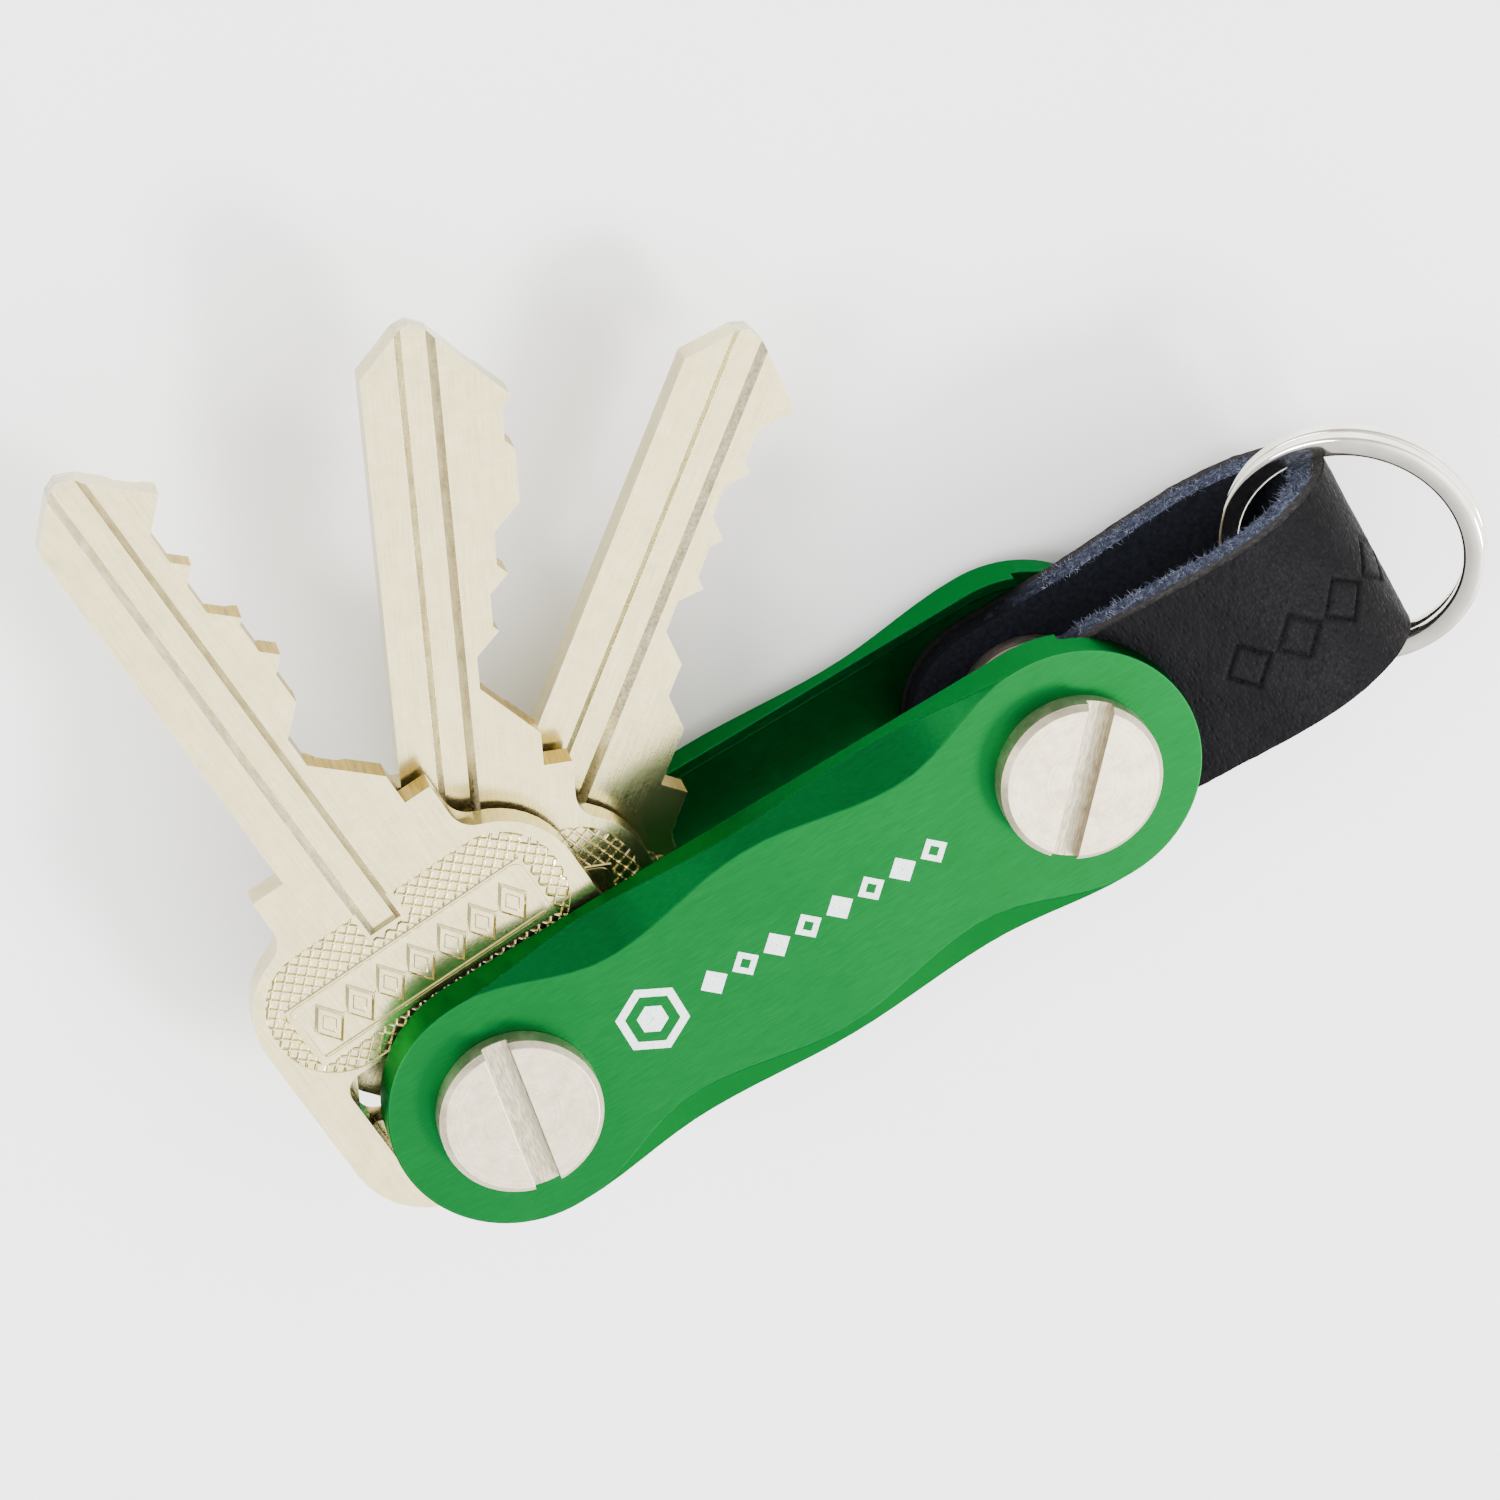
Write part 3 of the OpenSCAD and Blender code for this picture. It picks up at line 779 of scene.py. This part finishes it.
def knurl_patch(key, side):
    """The raised diagonal net in the shallow field of one bow face."""
    lines = []
    for i in range(-KNURL_LINES, KNURL_LINES + 1):
        lines += [(KNURL_PITCH * (i + part), rise) for part, rise in KNURL_STATIONS]
    index = {}
    points = []
    inside = set()
    for i, (p, rise_p) in enumerate(lines):
        for j, (q, rise_q) in enumerate(lines):
            u, v = (p + q) / math.sqrt(2), (q - p) / math.sqrt(2) + KNURL_MIDDLE_V
            if not in_field(u, v, -KNURL_REACH):
                continue
            if side > 0 and GROOVE_CLEAR_U[0] < u < GROOVE_CLEAR_U[1] and v > GROOVE_CLEAR_V:
                continue
            if in_field(u, v, 0.0):
                inside.add((i, j))
            u, v, keep = settled(u, v)
            index[i, j] = len(points)
            rise = KNURL_TALL * keep * max(rise_p, rise_q) - KNURL_DEEP
            points.append(bow_point(key, side, u, v, rise))
    faces = []
    for i, j in index:
        ring = [(i, j + 1), (i + 1, j + 1), (i + 1, j), (i, j)]
        if all(c in index for c in ring) and any(c in inside for c in ring):
            faces.append([index[c] for c in ring])
    bow_piece(key, side, "knurl", points, faces, slivers=True)


def panel_studs(key, side):
    """Low faceted caps on the row of lozenges in the panel of one bow face."""
    points = []
    faces = []
    for n in range(STUD_COUNT):
        middle_u = STUD_MIDDLE[0] + STUD_PITCH * (n - (STUD_COUNT - 1) / 2)
        start = len(points)
        for share, rise in STUD_RINGS:
            for k in range(4):
                u = middle_u + share * STUD_REACH[0] * math.cos(math.pi / 2 * k)
                v = STUD_MIDDLE[1] + share * STUD_REACH[1] * math.sin(math.pi / 2 * k)
                points.append(bow_point(key, side, u, v, rise))
        faces += grid_faces(len(STUD_RINGS), 4, start=start)
        faces.append(tuple(start + 4 * (len(STUD_RINGS) - 1) + k for k in range(4)))
    bow_piece(key, side, "studs", points, faces, sharp_deg=STUD_SHARP_DEG)


def panel_rim(key, side):
    """A low raised rim round the panel of one bow face."""
    low = PANEL_LOW + RIM_CORNER
    high = PANEL_HIGH - RIM_CORNER
    corners = [high, (low[0], high[1]), low, (high[0], low[1])]
    points = []
    for inset, rise in RIM_RINGS:
        for quarter, corner in enumerate(corners):
            for step in range(RIM_STEPS):
                turn = math.pi / 2 * (quarter + step / (RIM_STEPS - 1))
                u = corner[0] + (RIM_CORNER - inset) * math.cos(turn)
                v = corner[1] + (RIM_CORNER - inset) * math.sin(turn)
                points.append(bow_point(key, side, u, v, rise))
    bow_piece(key, side, "rim", points, grid_faces(len(RIM_RINGS), 4 * RIM_STEPS))


for key in KEY_DIRECTION:
    key_body(key)
    for side in (1, -1):
        knurl_patch(key, side)
        panel_studs(key, side)
        panel_rim(key, side)

# ---- Leather loop ----

STRAP_T = 2.4
STRAP_HALF_W = (STRAP_HIGH[1] - STRAP_LOW[1]) / 2
LEAF_CENTRE_X = STRAP_LOW[0] + STRAP_HALF_W
SPACER_TOP = box_mm("strap_spacer_5")[1][2]
LEAF_RISE = SPACER_TOP + STRAP_T / 2 - MID_Z
LOOP_RISE = (STRAP_HIGH[2] - STRAP_LOW[2]) / 2 - STRAP_T / 2
BEND_X = STRAP_HIGH[0] - STRAP_T / 2
SWELL_START = POST_SPACING + 5.0
SWELL_END = POST_SPACING + 14.5
STRAP_STEP = 0.13
BEND_STEPS = 62
ACROSS_STEPS = 121
THROUGH_STEPS = 15
STRAP_SHARP_DEG = 50.0
# Kinds of leather surface, in the order of the loop's materials
GRAIN, FIBRE, SUEDE, SKIN_EDGE = range(4)
SKIN_FROM = 0.42
# How far the cut edge wanders, how ragged each layer is, and how its corners are rubbed off
WANDER = 0.10
RAG = {FIBRE: 0.16, SKIN_EDGE: 0.05}
RAG_BIAS = 0.25
CORNER_GRAIN = 0.22
CORNER_SUEDE = 0.12
CORNER_ACROSS = 0.6
CORNER_THROUGH = 0.35
CORNER_FROM = (0.985, 0.9)
# The pressed row of lozenges: places along the leather and sizes
LOZENGE_START = 20.6
LOZENGE_PITCH = 3.4
LOZENGE_COUNT = 6
LOZENGE_HALF_LONG = 1.45
LOZENGE_HALF_WIDE = 1.6
LOZENGE_MIDDLE_Y = -0.6
LOZENGE_LINE = 0.192
PRESS_DEEP = 0.16
# Loose fibres
FIBRE_COUNT = 9000
FIBRE_SEED = 7
FIBRE_FROM_X = POST_SPACING + 4.5
FIBRE_LONG = (0.10, 0.26)
FIBRE_THICK = (0.020, 0.038)
FIBRE_TAPER = 0.8
FIBRE_CURL = 1.5
FIBRE_ROOT = 0.12
FIBRE_RINGS = 4
FIBRE_SHARP_DEG = 80.0
THIRDS = (0.0, 2.094, 4.189)


def smooth(t):
    return t * t * (3 - 2 * t)


def ripple(height, x, y, z):
    return height * noise.noise(Vector((x, y, z)))


def strap_line():
    """Middle line of the leather in X and Z, from the front leaf's end round to the rear's."""
    flat = [(x, LEAF_RISE) for x in np.arange(STRAP_LOW[0], SWELL_START, STRAP_STEP)]
    swell = []
    for x in np.arange(SWELL_START, SWELL_END, STRAP_STEP):
        share = smooth((x - SWELL_START) / (SWELL_END - SWELL_START))
        swell.append((x, LEAF_RISE + (LOOP_RISE - LEAF_RISE) * share))
    bend = [
        (SWELL_END + (BEND_X - SWELL_END) * math.sin(a), LOOP_RISE * math.cos(a))
        for a in np.linspace(0, math.pi / 2, BEND_STEPS)
    ]
    upper = flat + swell + bend
    return np.array(upper + [(x, -z) for x, z in reversed(upper[:-1])])


def lozenge_groove(s, y):
    """Depth of the pressed ornament: a row of lozenge outlines along the leather."""
    nearest = round((s - LOZENGE_START) / LOZENGE_PITCH)
    if not 0 <= nearest < LOZENGE_COUNT:
        return 0.0
    ds = abs(s - LOZENGE_START - nearest * LOZENGE_PITCH) / LOZENGE_HALF_LONG
    dy = abs(y - LOZENGE_MIDDLE_Y) / LOZENGE_HALF_WIDE
    off = abs(ds + dy - 1.0) / math.hypot(1 / LOZENGE_HALF_LONG, 1 / LOZENGE_HALF_WIDE)
    return PRESS_DEEP * max(0.0, 1.0 - (off / LOZENGE_LINE) ** 2)


def strap_section():
    """Points round the leather's cross-section: (place across -1..1, place through -1..1,
    kind of surface)."""
    across = np.linspace(-1, 1, ACROSS_STEPS)
    through = np.linspace(1, -1, THROUGH_STEPS)
    edge = [(t, SKIN_EDGE if t > SKIN_FROM else FIBRE) for t in through]
    points = [(q, 1.0, GRAIN) for q in across[1:-1]]
    points += [(1.0, t, kind) for t, kind in edge]
    points += [(q, -1.0, SUEDE) for q in across[::-1][1:-1:2]]
    points += [(-1.0, t, kind) for t, kind in edge[::-1]]
    return points


def strap_mesh():
    """The loop's points, faces, kinds of surface and pressed shares, with its middle line and
    the line's normals."""
    line = strap_line()
    step = np.gradient(line, axis=0)
    step /= np.linalg.norm(step, axis=1)[:, None]
    normal = np.stack([-step[:, 1], step[:, 0]], axis=1)
    run = np.concatenate([[0], np.cumsum(np.linalg.norm(np.diff(line, axis=0), axis=1))])
    section = strap_section()
    points = []
    pressed = []
    for (x, z), (nx, nz), s in zip(line, normal, run):
        reach = STRAP_HALF_W
        if x < LEAF_CENTRE_X:
            reach = math.sqrt(max(STRAP_HALF_W**2 - (x - LEAF_CENTRE_X) ** 2, 0.01))
        wander = ripple(WANDER, s * 0.35, 3.1, 0.0)
        for q, t, kind in section:
            y = q * reach
            deep = t * STRAP_T / 2
            groove = 0.0
            if abs(q) > CORNER_FROM[0] and abs(t) > CORNER_FROM[1]:
                corner = CORNER_GRAIN if t > 0 else CORNER_SUEDE
                y -= math.copysign(corner * CORNER_ACROSS, q)
                deep -= math.copysign(corner * CORNER_THROUGH, t)
            if kind in RAG:
                ragged = ripple(1.0, s * 2.1, deep * 3.3, q * 9.0) - RAG_BIAS
                y += math.copysign(RAG[kind], q) * ragged + wander
            elif kind == GRAIN:
                groove = lozenge_groove(s, y)
                deep += ripple(0.022, s * 2.6, y * 1.3, 5.0) - groove
                deep += ripple(0.045, s * 0.5, y * 0.35, 8.0)
            else:
                deep += ripple(0.05, s * 1.6, y * 1.6, 11.0)
            pressed.append(groove / PRESS_DEEP)
            points.append((x + nx * deep, y, MID_Z + z + nz * deep))
    columns = len(section)
    rows = len(line)
    faces = grid_faces(rows, columns)
    kinds = [section[i % columns][2] for i in range(len(faces))]
    faces.append(tuple(range(columns - 1, -1, -1)))
    faces.append(tuple(range((rows - 1) * columns, rows * columns)))
    kinds += [FIBRE, FIBRE]
    return points, faces, kinds, pressed, line, normal


def add_fibres(line, normal):
    """Loose fibres that stand out of both cut edges, each a thin tapered tube."""
    rng = random.Random(FIBRE_SEED)
    fuzzy = [i for i, (x, z) in enumerate(line) if x > FIBRE_FROM_X]
    points = []
    faces = []
    for _ in range(FIBRE_COUNT):
        i = rng.choice(fuzzy)
        side = rng.choice((-1, 1))
        through = rng.uniform(-1.0, 0.35)
        root = line[i] + normal[i] * through * STRAP_T / 2
        along = np.array([-normal[i][1], normal[i][0]])
        inward = -0.15 - 0.75 * max(0.0, -through)
        lean = normal[i] * (inward + rng.uniform(-0.5, 0.4)) + along * rng.uniform(-0.9, 0.9)
        heading = np.array([lean[0], side * rng.uniform(0.25, 0.8), lean[1]])
        heading /= np.linalg.norm(heading)
        curl = np.array([rng.uniform(-1, 1) for _ in range(3)]) * FIBRE_CURL
        long = rng.uniform(*FIBRE_LONG)
        thick = rng.uniform(*FIBRE_THICK)
        base = np.array([root[0], side * (STRAP_HALF_W - FIBRE_ROOT), MID_Z + root[1]])
        first = np.cross(heading, [0.3, 0.5, 0.8])
        first /= np.linalg.norm(first)
        second = np.cross(heading, first)
        start = len(points)
        for k in range(FIBRE_RINGS):
            t = k / (FIBRE_RINGS - 1)
            middle = base + long * (heading * t + curl * t * t)
            radius = thick * (1 - FIBRE_TAPER * t)
            for a in THIRDS:
                points.append(middle + radius * (math.cos(a) * first + math.sin(a) * second))
        end = len(points) - len(THIRDS)
        faces += grid_faces(FIBRE_RINGS, len(THIRDS), start=start)
        faces += [(start + 2, start + 1, start), (end, end + 1, end + 2)]
    piece = make_piece("strap_fibres", points, faces, [fibre_blue()], sharp_deg=FIBRE_SHARP_DEG)
    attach(piece, "body")


def add_strap():
    points, faces, kinds, pressed, line, normal = strap_mesh()
    materials = [leather_skin(), leather_edge(), leather_suede(), leather_edge_skin()]
    piece = make_piece("leather_loop", points, faces, materials, kinds, STRAP_SHARP_DEG)
    layer = piece.data.attributes.new("pressed", "FLOAT", "POINT")
    layer.data.foreach_set("value", pressed)
    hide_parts("strap")
    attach(piece, "body")
    add_fibres(line, normal)


add_strap()

# ---- Split ring ----

RING_TILT = math.radians(27.0)
RING_HANG = 2.2
RING_MID_R = 7.7
RING_STEP_DEG = 2.0
RING_END_AT_DEG = 130.0
RING_SHARP_DEG = 50.0
WIRE_W = 1.4
WIRE_STEPS = 28
WIRE_CROWN = (0.55, 0.5)
COIL_T = 1.0
COIL_FILL = 0.97
COIL_PITCH = 1.02
END_GAP_DEG = 11.0
TIP_DEG = 7.0
TIP_SLIM = 0.55


def coil_height(turn_deg):
    """Height of the wire's middle: the lower coil, a short climb, then the upper coil."""
    t = min(max((turn_deg - (360 - END_GAP_DEG)) / (2 * END_GAP_DEG), 0.0), 1.0)
    return COIL_T * COIL_PITCH * (smooth(t) - 0.5)


def wire_section():
    """Rounded, slightly crowned section of the flattened wire."""
    points = []
    for a in np.linspace(0, 2 * math.pi, WIRE_STEPS, endpoint=False):
        c, s = math.cos(a), math.sin(a)
        out = math.copysign(abs(c) ** WIRE_CROWN[0], c) * WIRE_W / 2
        up = math.copysign(abs(s) ** WIRE_CROWN[1], s) * COIL_T / 2 * COIL_FILL
        points.append((out, up))
    return points


def add_ring():
    """One wire of two turns, with tapered cut ends."""
    section = wire_section()
    turns = np.arange(END_GAP_DEG, 720 - END_GAP_DEG + 0.1, RING_STEP_DEG)
    points = []
    for turn in turns:
        a = math.radians(turn - RING_END_AT_DEG)
        from_end = min(turn - turns[0], turns[-1] - turn)
        slim = TIP_SLIM + (1 - TIP_SLIM) * smooth(min(from_end / TIP_DEG, 1.0))
        for out, up in section:
            r = RING_MID_R + out
            z = coil_height(turn) + up * slim
            local = Vector((RING_HANG + r * math.cos(a), r * math.sin(a), z))
            local.rotate(Euler((0, -RING_TILT, 0)))
            points.append(np.array(local) + RING_PIVOT)
    columns = len(section)
    faces = grid_faces(len(turns), columns)
    faces.append(tuple(range(columns)))
    faces.append(tuple(range(len(points) - 1, len(points) - 1 - columns, -1)))
    faces = [face[::-1] for face in faces]
    piece = make_piece("split_ring_coils", points, faces, [RING], sharp_deg=RING_SHARP_DEG)
    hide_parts("split_ring")
    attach(piece, "ring")


add_ring()

# ---- Printed ornament on the front plate: a hexagon and a row of lozenges ----

PRINT_T = 0.012
PRINT_SUNK = 0.01
PRINT_Y = 0.4
HEXAGON_X = 9.9
HEXAGON_RADII = ((2.35, 1.75), (1.0, 0.05))
ROW_START_X = 14.3
ROW_PITCH = 2.25
ROW_COUNT = 8
ROW_R = 0.95
ROW_HOLES = (0.05, 0.42)


def polygon_ring(centre_x, outer_r, inner_r, sides, turn_deg):
    """Points and faces of a thin flat polygon with a hole of the same shape."""
    points = []
    for z in (FACE_Z - PRINT_SUNK, FACE_Z + PRINT_T):
        for r in (outer_r, inner_r):
            for k in range(sides):
                a = math.radians(turn_deg + 360 * k / sides)
                points.append((centre_x + r * math.cos(a), PRINT_Y + r * math.sin(a), z))
    low_out, low_in, top_out, top_in = (part * sides for part in range(4))
    faces = []
    for k in range(sides):
        n = (k + 1) % sides
        faces.append((top_out + k, top_out + n, top_in + n, top_in + k))
        faces.append((low_out + k, low_out + n, top_out + n, top_out + k))
        faces.append((low_in + n, low_in + k, top_in + k, top_in + n))
        faces.append((low_out + n, low_out + k, low_in + k, low_in + n))
    return points, faces


def add_ornament():
    shapes = [polygon_ring(HEXAGON_X, *radii, 6, 30) for radii in HEXAGON_RADII]
    for i in range(ROW_COUNT):
        shapes.append(polygon_ring(ROW_START_X + ROW_PITCH * i, ROW_R, ROW_HOLES[i % 2], 4, 0))
    points = []
    faces = []
    for shape_points, shape_faces in shapes:
        start = len(points)
        points += shape_points
        faces += [tuple(start + i for i in face) for face in shape_faces]
    piece = make_piece("plate_ornament", points, faces, [silver_print()])
    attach(piece, "body")


add_ornament()

# ---- Studio ----

FLOOR_HALF = 1500.0
CENTRE = (0.035, 0.01, 0.01)
# The sky is brightest over the side away from the keys
SKY_BRIGHT_SIDE = (0.42, -0.40, 0.81)
SKY_LOW = 1.0
SKY_HIGH = 4.4
SKY_FALL = (0.25, 0.98)


def add_floor():
    h = FLOOR_HALF
    points = [(-h, -h, 0), (h, -h, 0), (h, h, 0), (-h, h, 0)]
    floor = make_piece("floor", points, [(0, 1, 2, 3)], [floor_paper()])


def add_light(name, at, size, watts):
    """A round soft lamp aimed at the object."""
    data = bpy.data.lights.new(name, "AREA")
    data.shape = "DISK"
    data.size = size
    data.energy = watts
    lamp = bpy.data.objects.new(name, data)
    lamp.location = at
    lamp.rotation_euler = (Vector(CENTRE) - Vector(at)).to_track_quat("-Z", "Y").to_euler()
    bpy.context.scene.collection.objects.link(lamp)


def add_world():
    """A soft white sky whose strength falls away from its bright side."""
    world = bpy.data.worlds.new("studio")
    world.use_nodes = True
    tree = world.node_tree
    coords = tree.nodes.new("ShaderNodeTexCoord")
    toward = tree.nodes.new("ShaderNodeVectorMath")
    toward.operation = "DOT_PRODUCT"
    toward.inputs[1].default_value = Vector(SKY_BRIGHT_SIDE).normalized()
    tree.links.new(coords.outputs["Generated"], toward.inputs[0])
    level = tree.nodes.new("ShaderNodeMapRange")
    level.interpolation_type = "SMOOTHSTEP"
    level.inputs["From Min"].default_value = SKY_FALL[0]
    level.inputs["From Max"].default_value = SKY_FALL[1]
    level.inputs["To Min"].default_value = SKY_LOW
    level.inputs["To Max"].default_value = SKY_HIGH
    tree.links.new(toward.outputs["Value"], level.inputs["Value"])
    background = tree.nodes["Background"]
    background.inputs["Color"].default_value = (1.0, 1.0, 1.0, 1.0)
    tree.links.new(level.outputs["Result"], background.inputs["Strength"])
    bpy.context.scene.world = world


add_floor()
add_light("key_light", (0.50, -0.88, 1.00), 0.40, 26.0)
add_light("fill_light", (-0.80, 0.45, 0.90), 0.60, 18.0)
add_world()
